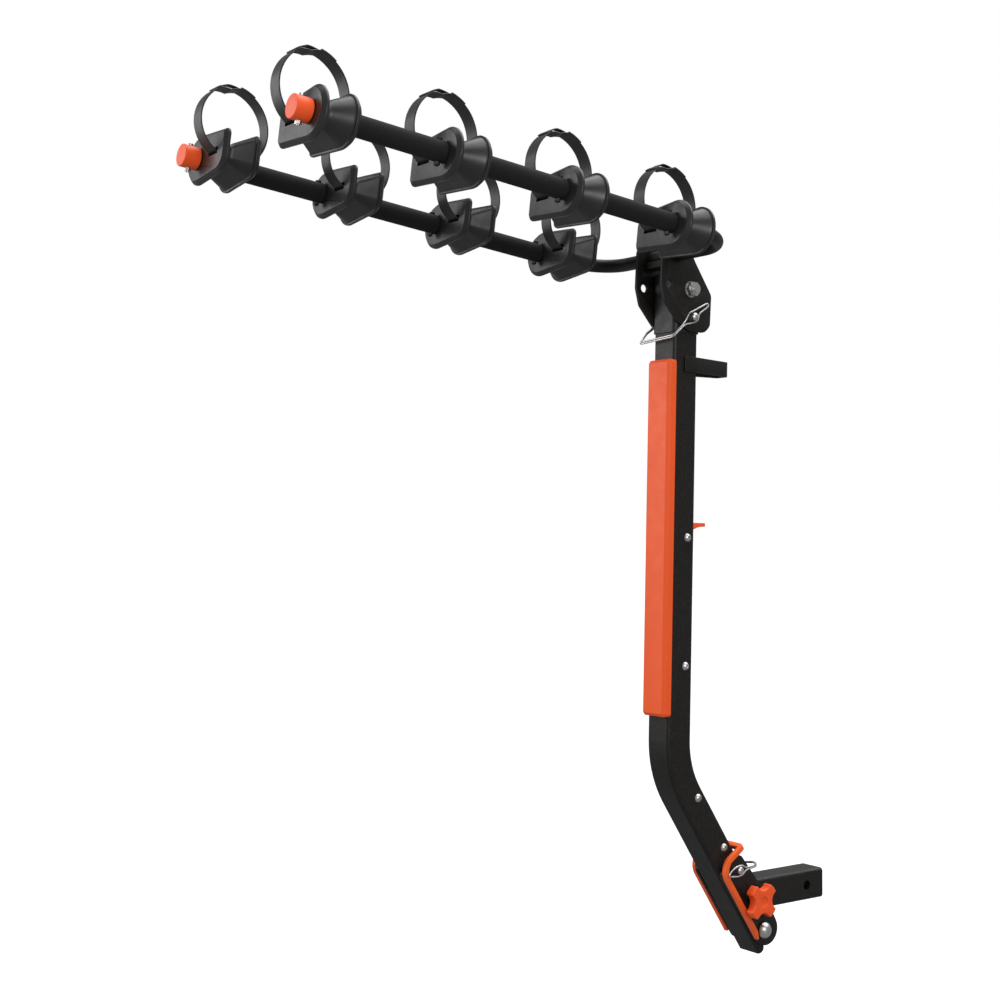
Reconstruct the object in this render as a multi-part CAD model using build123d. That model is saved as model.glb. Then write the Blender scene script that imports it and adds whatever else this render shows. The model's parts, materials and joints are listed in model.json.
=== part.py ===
from build123d import *
import os
from math import acos, atan2, cos, hypot, pi, radians, sin, tan

# Hitch mounted bike rack, in millimetres and degrees.
# +X is the rack's right side, +Y points along the shank towards the vehicle, +Z is up.
# The origin is the centre of the hitch pin hole in the shank.

# ---------------------------------------------------------------- driving dimensions
TUBE = 50.8               # square steel tube, outside, for both the shank and the mast
TUBE_CORNER = 6.0
SHANK_WALL = 5.0
MAST_WALL = 3.2
HITCH_PIN_D = 16.3        # hole for a 5/8 inch hitch pin
SHANK_TAIL = 38.1         # hitch pin hole to the vehicle end of the shank
PLUG_DEPTH = 10.0         # plastic plug in the shank's vehicle end

TILT_PIVOT = (-109.8, -59.0)   # y, z of the bolt that the mast tilts on
LOWER_LEAN = 33.3         # the mast's lower length leans away from the vehicle
UPPER_LEAN = 1.4          # its upper length leans back by this much
LOWER_LENGTH = 332.4      # tilt bolt to the corner of the bend
UPPER_LENGTH = 780.8      # corner of the bend to the fold bolt
MAST_BEND = 160.0         # centre line radius of the bend
FOOT = 33.0               # mast below the tilt bolt
HEEL = -10.5              # rear edge of the mast's front wall piece below the bolt
HEEL_R = 24.0             # behind that edge the mast is rounded about the bolt
HEAD = 24.0               # mast above the fold bolt

ARM_RISE = 7.0            # the arms rise towards their free ends
ARM_X = 166.0             # each arm from the middle plane
ARM_TUBE = 22.2
ARM_WALL = 2.0
ARM_BEND = 71.0           # centre line radius of the two corners of the U
ARM_LIFT = 51.0           # arm plane above the fold bolt
CROSS_AHEAD = 34.0        # cross tube ahead of the fold bolt, along the arms
ARM_REACH = 807.0         # fold bolt to the tube's free ends
CAP_REACH = 812.0         # fold bolt to the caps' faces
CAP_LENGTH = 25.4
CAP_D = 33.0
SLEEVE_D = 30.3           # plastic sleeves between cradles
BOLT_R = 2.5              # small bolts through the arms

CRADLES = 4               # on each arm
CRADLE_PITCH = 207.0
FIRST_CRADLE = 786.0      # fold bolt to the first cradle's front face
FLANGE_R = 37.0           # round side of a cradle's flange
WING_REACH = 86.0         # inward end of the flange from the arm's axis
WING_TOP = 30.0
WING_BOTTOM = 32.5
WAIST = ((0, 0, 22.0), (-58, 3, 10.0), (-62, -9, 6.0))   # circles round the bottom of the saddle's valley
BEVEL = 5.0
RIM = 3.2                 # flange thickness between its bevel and the valley
VALLEY = 43.0             # width of the valley between the flanges
STRAP_WIDTH = 25.0
STRAP_THICK = 2.6
STRAP_INWARD = 50.0       # strap's middle from the arm's axis
STRAP_LEVEL = -2.0        # strap's lower run from the arm's axis, before the cradle is turned

PLATE = 6.0               # side plates at the foot
PLATE_GAP = 0.8           # side plates to the mast, each side
PLATE_REAR = 36.0         # rear edge of the side plates behind the mast's centre line
PLATE_TOP = 142.0
PLATE_FOOT = (4.5, -2.5)  # centre of the plates' round lower end, from the tilt bolt
PLATE_FOOT_R = 26.5
SHANK_START = 28.0        # mitred end of the shank behind the mast's centre line
HEAD_PLATE = 5.0
HEAD_PLATE_CORNER = 14.0
WEB_LEVEL = 31.0          # underside of the bar below the cross tube, above the fold bolt
HEAD_SLEEVE = 2.6         # wall of the plastic sleeve on the mast's head
SLEEVE_DROP = 69.5
LOCK_PIN_D = 12.7
FOLD_PIN_DROP = 45.5      # fold lock pin below the fold bolt
TILT_PIN = (6.0, 126.5)   # tilt lock pin behind and above the tilt bolt
PIN_SLOT = 14.0           # width of the open clearance slots in the mast
PIN_PATH = 13.0           # degrees of the tilt pin's path that its slot covers
FOLD_PATH = 48.0          # the same for the fold pin
WIRE_D = 3.0
PIVOT_D = 12.0            # tilt and fold bolts
BUSH_D = 18.0
TILT_WASHER_R = 13.8
FOLD_WASHER_R = 13.0

BAR_FRONT = -25.0         # striker bail, a square bar: front edge of its legs
BAR_WIDE = 8.0
BAR_DEEP = 9.0
BAIL_TOP = 156.0
BAIL_REAR = 38.0
BAIL_KNEE = 29.0          # outside radius of its upper bends
KNOB_AT = (9.0, 60.0)
KNOB_R = 31.0
SCALLOP_R = 15.0          # four finger hollows round the knob
SCALLOP_AT = 34.0
STUD_D = 10.0

BUMPER_TOP = -114.0       # from the fold bolt, down the mast
BUMPER_BOTTOM = -691.0
BUMPER_FRONT = -38.0
BUMPER_LIP = -21.5
BUMPER_HALF = 27.2
BUMPER_CORNER = 6.0
LOOP_TOP = -108.0         # tie-down loop
LOOP_TALL = 25.0
LOOP_BACK = 104.0
LOOP_THICK = 3.0

SCREW_BACK = 10.0         # linkage screws behind the mast's centre line
SCREW_D = 8.0
TRIGGER_AT = -402.0       # trigger screw from the fold bolt
GUIDE_AT = -610.0         # upper cable guide
LOWER_GUIDE_AT = 272.0    # lower cable guide above the tilt bolt
PAWL_AT = 168.0           # latch pawl screw above the tilt bolt
LEVER_HALF = 3.0          # half the thickness of the trigger and of the pawl
CABLE_BACK = 20.0
CABLE_D = 2.4

FIT = 0.06                # radial clearance of turning fits
GAP = 0.1                 # clearance of parts that sit on each other

HALF = TUBE / 2
PLATE_IN = HALF + PLATE_GAP
PLATE_OUT = PLATE_IN + PLATE
SLEEVE_HALF = HALF + HEAD_SLEEVE
HEAD_IN = SLEEVE_HALF + 0.4
HEAD_OUT = HEAD_IN + HEAD_PLATE
CRADLE_LENGTH = 2 * (BEVEL + RIM) + VALLEY


# ---------------------------------------------------------------- frames
def side_frame(y, z, lean):
    """Side view frame: first axis rearward, second axis up and leaning back, normal +X."""
    a = radians(lean)
    return Plane(origin=(0, y, z), x_dir=(0, cos(a), -sin(a)), z_dir=(1, 0, 0))


LOWER = side_frame(*TILT_PIVOT, -LOWER_LEAN)
CORNER = LOWER.from_local_coords((0, LOWER_LENGTH, 0))
FOLD_PIVOT = (CORNER.Y + UPPER_LENGTH * sin(radians(UPPER_LEAN)),
              CORNER.Z + UPPER_LENGTH * cos(radians(UPPER_LEAN)))
UPPER = side_frame(*FOLD_PIVOT, UPPER_LEAN)
ARMS = side_frame(*FOLD_PIVOT, ARM_RISE)
LEVEL = side_frame(*FOLD_PIVOT, 0)
AHEAD = ARMS.x_dir * -1


def at(frame, u, v, x=0.0):
    """A point of a side frame, x along the model's X."""
    return frame.from_local_coords((u, v, x))


def on_arm(side, reach):
    """Cross-section frame of an arm. Its first axis points away from the middle plane, its
    normal points to the arm's free end. The left one is the right one turned half round."""
    origin = at(ARMS, -reach, ARM_LIFT, side * ARM_X)
    return Plane(origin=origin, x_dir=(side, 0, 0), z_dir=AHEAD)


# ---------------------------------------------------------------- helpers
def slab(frame, shape, x0, x1):
    """A flat shape of a side frame as a solid between two X values."""
    low, high = min(x0, x1), max(x0, x1)
    return extrude(frame.offset(low) * shape, high - low)


def rod(frame, u, v, r, x0, x1):
    return slab(frame, Pos(u, v) * Circle(r), x0, x1)


def ring(frame, u, v, r_in, r_out, x0, x1):
    return slab(frame, Pos(u, v) * (Circle(r_out) - Circle(r_in)), x0, x1)


def nut(frame, u, v, flats, r_in, x0, x1):
    return slab(frame, Pos(u, v) * (RegularPolygon(flats / 2, 6, major_radius=False) - Circle(r_in)), x0, x1)


def box(frame, u0, u1, v0, v1, x0, x1):
    return slab(frame, Pos((u0 + u1) / 2, (v0 + v1) / 2) * Rectangle(u1 - u0, v1 - v0), x0, x1)


def dome(frame, u, v, r, x0, height):
    """A shallow round-topped head standing on x0, outwards."""
    base = Plane(origin=at(frame, u, v, x0), x_dir=frame.x_dir, z_dir=frame.y_dir * -1)
    ball_r = (r * r + height * height) / (2 * height)
    way = 1 if height > 0 else -1
    middle = (0.6 * r, height - ball_r + way * (ball_r ** 2 - 0.36 * r * r) ** 0.5)
    crown = ThreePointArc((r, 0), middle, (0, height))
    profile = make_face([crown, Line((0, height), (0, 0)), Line((0, 0), (r, 0))])
    return revolve(base * profile, Axis(base.origin, (1, 0, 0)))


def hull(*circles):
    """Outline round three or more circles (u, v, r), listed anticlockwise."""
    turns = []
    for (u1, v1, r1), (u2, v2, r2) in zip(circles, circles[1:] + circles[:1]):
        turns.append(atan2(v2 - v1, u2 - u1) - acos((r1 - r2) / hypot(u2 - u1, v2 - v1)))
    arcs = []
    for k, (u, v, r) in enumerate(circles):
        a0, a1 = turns[k - 1], turns[k]
        while a1 < a0:
            a1 += 2 * pi
        arcs.append(ThreePointArc(*((u + r * cos(a), v + r * sin(a)) for a in (a0, (a0 + a1) / 2, a1))))
    joins = [Line(a @ 1, b @ 0) for a, b in zip(arcs, arcs[1:] + arcs[:1])]
    return make_face(arcs + joins)


def rounded(points, radius):
    """A polygon with its corners rounded."""
    face = make_face(Polyline(*points, close=True))
    return fillet(face.vertices(), radius)


def wire(points, radii, d):
    """A round wire: straight runs joined by arcs."""
    path = FilletPolyline(*points, radius=radii)
    return sweep(Plane(origin=path @ 0, z_dir=path % 0) * Circle(d / 2), path=path)


def path_slot(frame, radius, start, sweep_deg, x):
    """Curved slot of a lock pin about a pivot, from its rest angle towards the rear."""
    arc_band = Circle(radius + PIN_SLOT / 2) - Circle(radius - PIN_SLOT / 2)
    reach = 3 * radius
    half = radians(abs(sweep_deg)) / 2
    wedge = make_face(Polyline((0, 0), (reach, -reach * tan(half)), (reach, reach * tan(half)), close=True))
    band = arc_band & (Rot(0, 0, start + sweep_deg / 2) * wedge)
    a = radians(start)
    end = Pos(radius * cos(a), radius * sin(a)) * Circle(PIN_SLOT / 2)
    return slab(frame, band, -x, x) + slab(frame, end, -x, x)


def save(node, *solids):
    """Write one node. Several solids in a node stay separate."""
    shape = solids[0] if len(solids) == 1 else Compound(children=list(solids))
    export_step(shape, "parts/" + node + ".step")


# ---------------------------------------------------------------- shank and foot bracket
def square_tube(wall):
    inner = TUBE - 2 * wall
    return RectangleRounded(TUBE, TUBE, TUBE_CORNER) - RectangleRounded(inner, inner, max(TUBE_CORNER - wall, 1.5))


def shank_tube():
    front = -160.0
    profile = Plane(origin=(0, front, 0), x_dir=(1, 0, 0), z_dir=(0, 1, 0)) * square_tube(SHANK_WALL)
    tube = extrude(profile, SHANK_TAIL - front)
    tube -= box(LOWER, -300, SHANK_START, -300, 400, -HALF - 1, HALF + 1)
    return tube - Rot(0, 90, 0) * Cylinder(HITCH_PIN_D / 2, 2 * TUBE)


def shank_plug():
    """Plastic plug that closes the shank's vehicle end."""
    across = TUBE - 2 * SHANK_WALL - 0.04
    mouth = Plane(origin=(0, SHANK_TAIL, 0), x_dir=(1, 0, 0), z_dir=(0, -1, 0))
    return extrude(mouth * RectangleRounded(across, across, 1.6), PLUG_DEPTH)


def side_plate(side):
    """Plate round the tilt bolt and up the mast's side, with a pad welded to the shank."""
    outline = hull((*PLATE_FOOT, PLATE_FOOT_R), (PLATE_REAR - 10, 60, 10), (PLATE_REAR - 16, PLATE_TOP - 9, 9),
                   (-16, PLATE_TOP - 9, 9))
    plate = slab(LOWER, outline, side * PLATE_IN, side * PLATE_OUT)
    pad = slab(LOWER, outline, side * HALF, side * PLATE_IN)
    pad &= box(LOWER, SHANK_START, 60, 0, PLATE_TOP, -60, 60)
    pad &= Box(4 * TUBE, 8 * TUBE, TUBE - 2 * TUBE_CORNER)
    plate += pad
    plate -= rod(LOWER, 0, 0, PIVOT_D / 2 + GAP, -60, 60)
    plate -= rod(LOWER, *TILT_PIN, LOCK_PIN_D / 2 + FIT, -60, 60)
    if side > 0:
        plate -= rod(LOWER, *KNOB_AT, STUD_D / 2 + GAP, 0, 60)
    return plate


def striker_bail():
    """Bent square bar: a leg outside each side plate and a cross bar close behind the mast."""
    outside = FilletPolyline((BAR_FRONT, 2), (BAR_FRONT, BAIL_TOP), (BAIL_REAR, BAIL_TOP), radius=BAIL_KNEE)
    foot = FilletPolyline((BAIL_REAR, BAIL_TOP - BAR_DEEP), (BAR_FRONT + BAR_DEEP, BAIL_TOP - BAR_DEEP),
                          (BAR_FRONT + BAR_DEEP, 14), radius=BAIL_KNEE - BAR_DEEP)
    toe = Line(foot @ 1, (BAR_FRONT + BAR_DEEP - 5, 2))
    leg = make_face([outside, Line(outside @ 1, foot @ 0), foot, toe, Line(toe @ 1, outside @ 0)])
    reach = PLATE_OUT + BAR_WIDE
    bail = slab(LOWER, leg, -reach, -PLATE_OUT) + slab(LOWER, leg, PLATE_OUT, reach)
    bail += box(LOWER, BAIL_REAR - BAR_DEEP, BAIL_REAR, BAIL_TOP - BAR_DEEP, BAIL_TOP, -reach, reach)
    corners = []
    for edge in bail.edges():
        u, v, x = LOWER.to_local_coords(edge.center())
        if abs(abs(x) - reach) < 0.1 and abs(u - BAIL_REAR) < 0.1 and abs(v - BAIL_TOP + BAR_DEEP / 2) < 0.1:
            corners.append(edge)
    return fillet(corners, BAR_WIDE - 0.5)


def pivot_bolt(frame, half, head, nut_length, dome_side):
    """A pivot bolt across a side frame's origin, with a domed head on one side."""
    r = PIVOT_D / 2
    s = dome_side
    shank = rod(frame, 0, 0, r, s * half, -s * (half + nut_length))
    return shank + dome(frame, 0, 0, head, s * half, s * 9.5)


# ---------------------------------------------------------------- lock pins and knob
def lock_pin(frame, u, v, tip):
    """A plain pin with a domed tip on the right and a flat head on the left."""
    r = LOCK_PIN_D / 2
    pin = rod(frame, u, v, r, -tip, tip - 3) + dome(frame, u, v, r, tip - 3, 3.0)
    head = rod(frame, u, v, r + 3, -tip - 5, -tip)
    eye = slab(frame, Pos(u, v) * Rectangle(WIRE_D + 2 * GAP, 60), -tip - 4.2, -tip - 0.8)
    return pin + (head - eye)


def tilt_lock_wire():
    """Spring wire from the pin's head, round behind the bracket, to a bow over its tip."""
    u, v = TILT_PIN
    near, far = 44.5, -50.5
    back = BAIL_REAR + 9
    trail = [(u, v, far), (u, v + 14, far), (u + 17, v + 12, far), (back - 3, v - 3, far + 6),
             (back + 2, v - 17, -24), (back + 2, v - 19, 24), (back - 4, v - 12, near - 2), (u + 18, v - 2, near)]
    bow = [(u + 8, v + 8.5, near), (u - 9, v + 10, near), (u - 15, v, near), (u - 9, v - 10, near),
           (u + 9, v - 9.5, near), (u + 19, v - 5, near)]
    points = [at(LOWER, *p) for p in trail + bow]
    return wire(points, [5, 5, 5, 7, 7, 6, 5, 4, 4, 4, 4, 4], WIRE_D)


def fold_lock_wire():
    """Spring wire from the pin's head, round the front of the mast, to a bow over its tip."""
    v = -FOLD_PIN_DROP
    near, far = 43.0, -52.5
    front = -SLEEVE_HALF - 5
    trail = [(0, v, far), (0, v - 14, far), (-16, v - 18, far + 1), (front - 2, v - 20, -42),
             (front - 4, v - 22, -20), (front - 4, v - 23, 24), (front + 3, v - 19, near - 2), (-13, v - 9, near)]
    bow = [(4, v - 10.5, near), (20, v + 1, near), (24, v + 16, near), (14, v + 21, near),
           (-6, v + 9, near), (-13, v - 4, near)]
    points = [at(UPPER, *p) for p in trail + bow]
    return wire(points, [5, 5, 5, 6, 7, 6, 4, 3, 4, 5, 5, 4], WIRE_D)


def clamp_knob():
    """Four-lobed hand knob with a hub."""
    back, face = PLATE_OUT + 12, PLATE_OUT + 27
    star = Circle(KNOB_R)
    for k in range(4):
        star -= Rot(0, 0, 90 * k) * Pos(SCALLOP_AT, 0) * Circle(SCALLOP_R)
    outline = Pos(*KNOB_AT) * Rot(0, 0, -LOWER_LEAN) * fillet(star.vertices(), 3)
    body = slab(LOWER, outline, back, face)
    body = fillet(body.faces().sort_by(Axis.X)[-1].edges(), 2.0)
    hub = rod(LOWER, *KNOB_AT, 13, back - 4, back)
    recess = rod(LOWER, *KNOB_AT, 8, face - 2, face + 1)
    socket = rod(LOWER, *KNOB_AT, STUD_D / 2 + GAP, back - 5, face - 6)
    return body + hub - recess - socket


# ---------------------------------------------------------------- mast
def mast_path(u=0.0):
    """The mast's centre line, or a line parallel to it and this far behind."""
    foot = at(LOWER, u, -FOOT)
    head = at(UPPER, u, HEAD)
    bend = radians(LOWER_LEAN + UPPER_LEAN)
    corner = at(LOWER, u, LOWER_LENGTH - u * tan(bend / 2))
    return foot, corner, head, MAST_BEND - u


def mast_tube():
    foot, corner, head, radius = mast_path()
    path = FilletPolyline(foot, corner, head, radius=radius)
    start = Plane(origin=foot, x_dir=(1, 0, 0), z_dir=path % 0)
    inner = TUBE - 2 * MAST_WALL
    tube = sweep(start * RectangleRounded(TUBE, TUBE, TUBE_CORNER), path=path)
    tube -= sweep(start * RectangleRounded(inner, inner, TUBE_CORNER - MAST_WALL), path=path)
    for frame in (LOWER, UPPER):
        tube -= rod(frame, 0, 0, BUSH_D / 2 + GAP, -60, 60)
    for frame, v in screw_places():
        tube -= rod(frame, SCREW_BACK, v, SCREW_D / 2 + GAP, -60, 60)
    slot = LEVER_HALF + 1.0
    tube -= box(UPPER, HALF - 6, HALF + 1, TRIGGER_AT - 12, TRIGGER_AT + 36, -slot, slot)
    tube -= box(LOWER, HALF - 6, HALF + 1, PAWL_AT - 16, PAWL_AT + 26, -slot, slot)
    for cut in pin_paths():
        tube -= cut
    return tube - slab(LOWER, heel_cut(), -60, 60)


def heel_cut():
    """What is cut off the mast's lower end, so that it turns clear of the shank."""
    below = Pos(0, -HALF) * Rectangle(4 * HALF, TUBE)
    toe = Pos(HEEL - TUBE / 2, 0) * RectangleRounded(TUBE, 2 * FOOT, 8)
    return below - Circle(HEEL_R) - toe


def pin_paths():
    """Clearance slots that let the mast pass each lock pin, open at the rear wall."""
    u, v = TILT_PIN
    rest = atan2(v, u) * 180 / pi
    return (path_slot(LOWER, hypot(u, v), rest, -PIN_PATH, 60),
            path_slot(UPPER, FOLD_PIN_DROP, -90, FOLD_PATH, 60))


def screw_places():
    return ((UPPER, TRIGGER_AT), (UPPER, GUIDE_AT), (LOWER, LOWER_GUIDE_AT), (LOWER, PAWL_AT))


def head_sleeve():
    """Plastic cover over the mast's head, closed on top."""
    inside = TUBE + 2 * GAP
    outside = 2 * SLEEVE_HALF
    base = Plane(origin=at(UPPER, 0, -SLEEVE_DROP), x_dir=(1, 0, 0), z_dir=UPPER.y_dir)
    length = SLEEVE_DROP + HEAD + 3.0
    cover = extrude(base * RectangleRounded(outside, outside, TUBE_CORNER + HEAD_SLEEVE), length)
    cover -= extrude(base * RectangleRounded(inside, inside, TUBE_CORNER), length - 3.0 + GAP)
    cover -= rod(UPPER, 0, 0, BUSH_D / 2 + GAP, -60, 60)
    return cover - pin_paths()[1]


def bumper_pad():
    """Soft channel over the mast's front face, its lips reaching back along the sides."""
    base = Plane(origin=at(UPPER, 0, BUMPER_BOTTOM), x_dir=(1, 0, 0), z_dir=UPPER.y_dir)
    tall = BUMPER_TOP - BUMPER_BOTTOM
    outline = Rectangle(2 * BUMPER_HALF, BUMPER_LIP - BUMPER_FRONT)
    pad = extrude(base * Pos(0, (BUMPER_LIP + BUMPER_FRONT) / 2) * outline, tall)
    corners = [edge for edge in pad.edges() if abs(edge.length - BUMPER_LIP + BUMPER_FRONT) < 0.01]
    pad = fillet(corners, BUMPER_CORNER)
    pad = chamfer(pad.faces().sort_by(Axis.Y)[0].edges(), BUMPER_CORNER - 1)
    bed = TUBE + 2 * GAP
    return pad - extrude(base * RectangleRounded(bed, bed, TUBE_CORNER), tall)


def tie_down_loop():
    """Flat bar welded to both sides of the mast and bent round behind it."""
    side = HALF + LOOP_THICK / 2
    v = LOOP_TOP - LOOP_TALL / 2
    half = [(-4, v, side), (22, v, side), (LOOP_BACK, v, 12)]
    points = [at(UPPER, *p) for p in half + [(u, v, -x) for u, v, x in reversed(half)]]
    path = FilletPolyline(*points, radius=[12, 4, 4, 12])
    start = Plane(origin=path @ 0, x_dir=UPPER.y_dir, z_dir=path % 0)
    return sweep(start * Rectangle(LOOP_TALL, LOOP_THICK), path=path)


# ---------------------------------------------------------------- release linkage
def linkage_screw(frame, v):
    r = SCREW_D / 2
    shank = rod(frame, SCREW_BACK, v, r, -HALF - 7, HALF)
    head = dome(frame, SCREW_BACK, v, 7, HALF, 4.4)
    socket = slab(frame, Pos(SCREW_BACK, v) * RegularPolygon(2.5, 6, major_radius=False), HALF + 1.5, HALF + 6)
    return shank + head - socket


def trigger_lever():
    outline = make_face([
        Polyline((3, -9), (3, 12), (13, 25), (58.4, 25), (58.4, 19)),
        ThreePointArc((58.4, 19), (38, 16), (20, 5)),
        Polyline((20, 5), (15, -8), (3, -9))])
    lever = slab(UPPER, Pos(SCREW_BACK, TRIGGER_AT) * (Circle(9) + outline), -LEVER_HALF, LEVER_HALF)
    return lever - rod(UPPER, SCREW_BACK, TRIGGER_AT, SCREW_D / 2 + FIT, -9, 9)


def latch_pawl():
    """Its nose stands over the bail's cross bar."""
    nose = make_face(Polyline((2, 9), (26, 4), (27, BAIL_TOP + 1.2 - PAWL_AT), (6, BAIL_TOP + 1.2 - PAWL_AT),
                              (2, -9), close=True))
    shape = Pos(SCREW_BACK, PAWL_AT) * (Circle(9) + nose)
    pawl = slab(LOWER, shape, -LEVER_HALF, LEVER_HALF)
    return pawl - rod(LOWER, SCREW_BACK, PAWL_AT, SCREW_D / 2 + FIT, -9, 9)


def release_cable():
    """Cable parallel to the mast's centre line, from the trigger down to the pawl."""
    corner, radius = mast_path(CABLE_BACK)[1], mast_path(CABLE_BACK)[3]
    top = at(UPPER, CABLE_BACK, TRIGGER_AT - 10)
    bottom = at(LOWER, CABLE_BACK, PAWL_AT + 10)
    return wire([bottom, corner, top], radius, CABLE_D)


# ---------------------------------------------------------------- arms
def head_plate(side):
    """Plate beside the mast's head: carries the cross tube, the fold bolt and the lock pin."""
    outline = rounded([(-58, 74), (-62, 5), (-55, -23), (-29, -53), (-1, -68), (31, -68), (43, -57),
                       (46, -6), (11, 46), (-5, 74)], HEAD_PLATE_CORNER)
    plate = slab(LEVEL, outline, side * HEAD_IN, side * HEAD_OUT)
    plate -= rod(UPPER, 0, 0, PIVOT_D / 2 + GAP, -60, 60)
    plate -= rod(UPPER, 0, -FOLD_PIN_DROP, LOCK_PIN_D / 2 + FIT, -60, 60)
    plate -= rod(ARMS, -FOLD_PIN_DROP, 0, LOCK_PIN_D / 2 + 0.2, -60, 60)
    return plate - rod(ARMS, -CROSS_AHEAD, ARM_LIFT, ARM_TUBE / 2 + 0.02, -60, 60)


def head_web():
    """Cross bar between the head plates, hollowed on top to carry the cross tube."""
    web = box(ARMS, -CROSS_AHEAD - 14, -CROSS_AHEAD + 4, WEB_LEVEL, ARM_LIFT - 9, -HEAD_IN, HEAD_IN)
    return web - rod(ARMS, -CROSS_AHEAD, ARM_LIFT, ARM_TUBE / 2 + 0.05, -60, 60)


def arm_u_tube():
    points = [at(ARMS, -reach, ARM_LIFT, side * ARM_X)
              for side, reach in ((1, ARM_REACH), (1, CROSS_AHEAD), (-1, CROSS_AHEAD), (-1, ARM_REACH))]
    path = FilletPolyline(*points, radius=ARM_BEND)
    start = Plane(origin=path @ 0, z_dir=path % 0)
    tube = sweep(start * Circle(ARM_TUBE / 2), path=path)
    tube -= sweep(start * Circle(ARM_TUBE / 2 - ARM_WALL), path=path)
    for side in (-1, 1):
        for reach in bolt_reaches():
            tube -= cross_hole(side, reach)
    return tube


def cradle_reach(k):
    return FIRST_CRADLE - k * CRADLE_PITCH


def bolt_reaches():
    """Bolts through each arm: one in the cap, then one just ahead of each later cradle."""
    return [CAP_REACH - CAP_LENGTH / 2] + [cradle_reach(k) + 9 for k in range(1, CRADLES)]


def upright(side, reach):
    """Frame across an arm, its normal pointing up from the arm's axis."""
    return Plane(origin=at(ARMS, -reach, ARM_LIFT, side * ARM_X), x_dir=(1, 0, 0), z_dir=ARMS.y_dir)


def cross_hole(side, reach):
    return extrude(upright(side, reach) * Circle(BOLT_R + GAP), 40, both=True)


def seat_of(k):
    """Radius under the head of the k-th bolt of an arm."""
    return (CAP_D if k == 0 else SLEEVE_D) / 2


def arm_bolt(side, k):
    frame = upright(side, bolt_reaches()[k])
    seat = seat_of(k)
    stem = extrude(frame.offset(-seat - 6) * Circle(BOLT_R), 2 * seat + 6)
    return stem + extrude(frame.offset(seat) * Circle(4.5), 2.6)


def arm_nut(side, k):
    frame = upright(side, bolt_reaches()[k])
    ring_face = RegularPolygon(4, 6, major_radius=False) - Circle(BOLT_R + 0.02)
    return extrude(frame.offset(-seat_of(k) - 4.5) * ring_face, 4.5)


def arm_sleeve(side, k):
    """Sleeve between two cradles, with rounded ends."""
    start = cradle_reach(k + 1) + 0.5
    length = CRADLE_PITCH - CRADLE_LENGTH - 1.0
    frame = on_arm(side, start)
    sleeve = extrude(frame * Circle(SLEEVE_D / 2), length)
    sleeve = fillet(sleeve.edges(), 2)
    sleeve -= extrude(frame * Circle(ARM_TUBE / 2 + 0.02), length)
    return sleeve - cross_hole(side, bolt_reaches()[k + 1])


def end_cap(side):
    frame = on_arm(side, CAP_REACH - CAP_LENGTH)
    cap = extrude(frame * Circle(CAP_D / 2), CAP_LENGTH)
    cap = fillet(cap.edges(), 1.5)
    cap -= extrude(frame * Circle(ARM_TUBE / 2 + 0.02), ARM_REACH - CAP_REACH + CAP_LENGTH + GAP)
    return cap - cross_hole(side, bolt_reaches()[0])


# ---------------------------------------------------------------- cradles and straps
def flange_outline(inset=0.0):
    """Flange round the arm with a wing on the inward side, or the same outline inset."""
    return hull((0, 0, FLANGE_R - inset),
                (-WING_REACH + 25, WING_TOP - 25, 25 - inset),
                (-WING_REACH + 10, 10 - WING_BOTTOM, 10 - inset))


def cradle(side, k):
    """Two flanges with a valley between them, loose on the arm."""
    full, small, waist = flange_outline(), flange_outline(BEVEL), hull(*WAIST)
    middle = CRADLE_LENGTH / 2
    stations = [(0, small), (BEVEL, full), (BEVEL + RIM, full), (middle - 1.5, waist), (middle + 1.5, waist),
                (CRADLE_LENGTH - BEVEL - RIM, full), (CRADLE_LENGTH - BEVEL, full), (CRADLE_LENGTH, small)]
    body = loft([Pos(0, 0, z) * face for z, face in stations], ruled=True)
    body -= Pos(0, 0, middle) * Cylinder(ARM_TUBE / 2 + FIT, 2 * CRADLE_LENGTH)
    slot = Box(STRAP_WIDTH + 1, STRAP_THICK + 1, 2 * CRADLE_LENGTH)
    body -= Pos(-STRAP_INWARD, STRAP_LEVEL, middle) * slot
    return on_arm(side, cradle_reach(k) - CRADLE_LENGTH).location * body


def strap(side, k):
    """Band through the cradle's slot and round over the saddle."""
    level = side * STRAP_LEVEL
    rear = -CRADLE_LENGTH - 1

    def loop(grow):
        low = level - grow
        front = ThreePointArc((1, low), (26.5 + grow, 33), (-11, 98.5 + grow))
        back = ThreePointArc((-11, 98.5 + grow), (-73.5 - grow, 58), (rear, low))
        return make_face([front, back, Line((rear, low), (1, low))])

    band = loop(STRAP_THICK / 2) - loop(-STRAP_THICK / 2)
    place = Pos(-cradle_reach(k), ARM_LIFT) * mirror(band, about=Plane.YZ)
    x = side * (ARM_X - STRAP_INWARD)
    return slab(ARMS, place, x - STRAP_WIDTH / 2, x + STRAP_WIDTH / 2)


# ---------------------------------------------------------------- build
def build_base():
    save("shank_tube", shank_tube())
    save("shank_end_plug", shank_plug())
    save("side_plate_left", side_plate(-1))
    save("side_plate_right", side_plate(1))
    save("striker_bail", striker_bail())
    washer = 2.5
    save("tilt_pivot_washers", *(ring(LOWER, 0, 0, PIVOT_D / 2 + GAP, TILT_WASHER_R, s * PLATE_OUT, s * (PLATE_OUT + washer))
                                 for s in (-1, 1)))
    save("tilt_pivot_bolt", pivot_bolt(LOWER, PLATE_OUT + washer, 13.5, 14, 1))
    seat = -PLATE_OUT - washer
    save("tilt_pivot_nut", nut(LOWER, 0, 0, 19, PIVOT_D / 2 + 0.02, seat, seat - 11))
    save("knob_weld_nut", nut(LOWER, *KNOB_AT, 17, STUD_D / 2 + GAP, PLATE_OUT, PLATE_OUT + 7))


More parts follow.
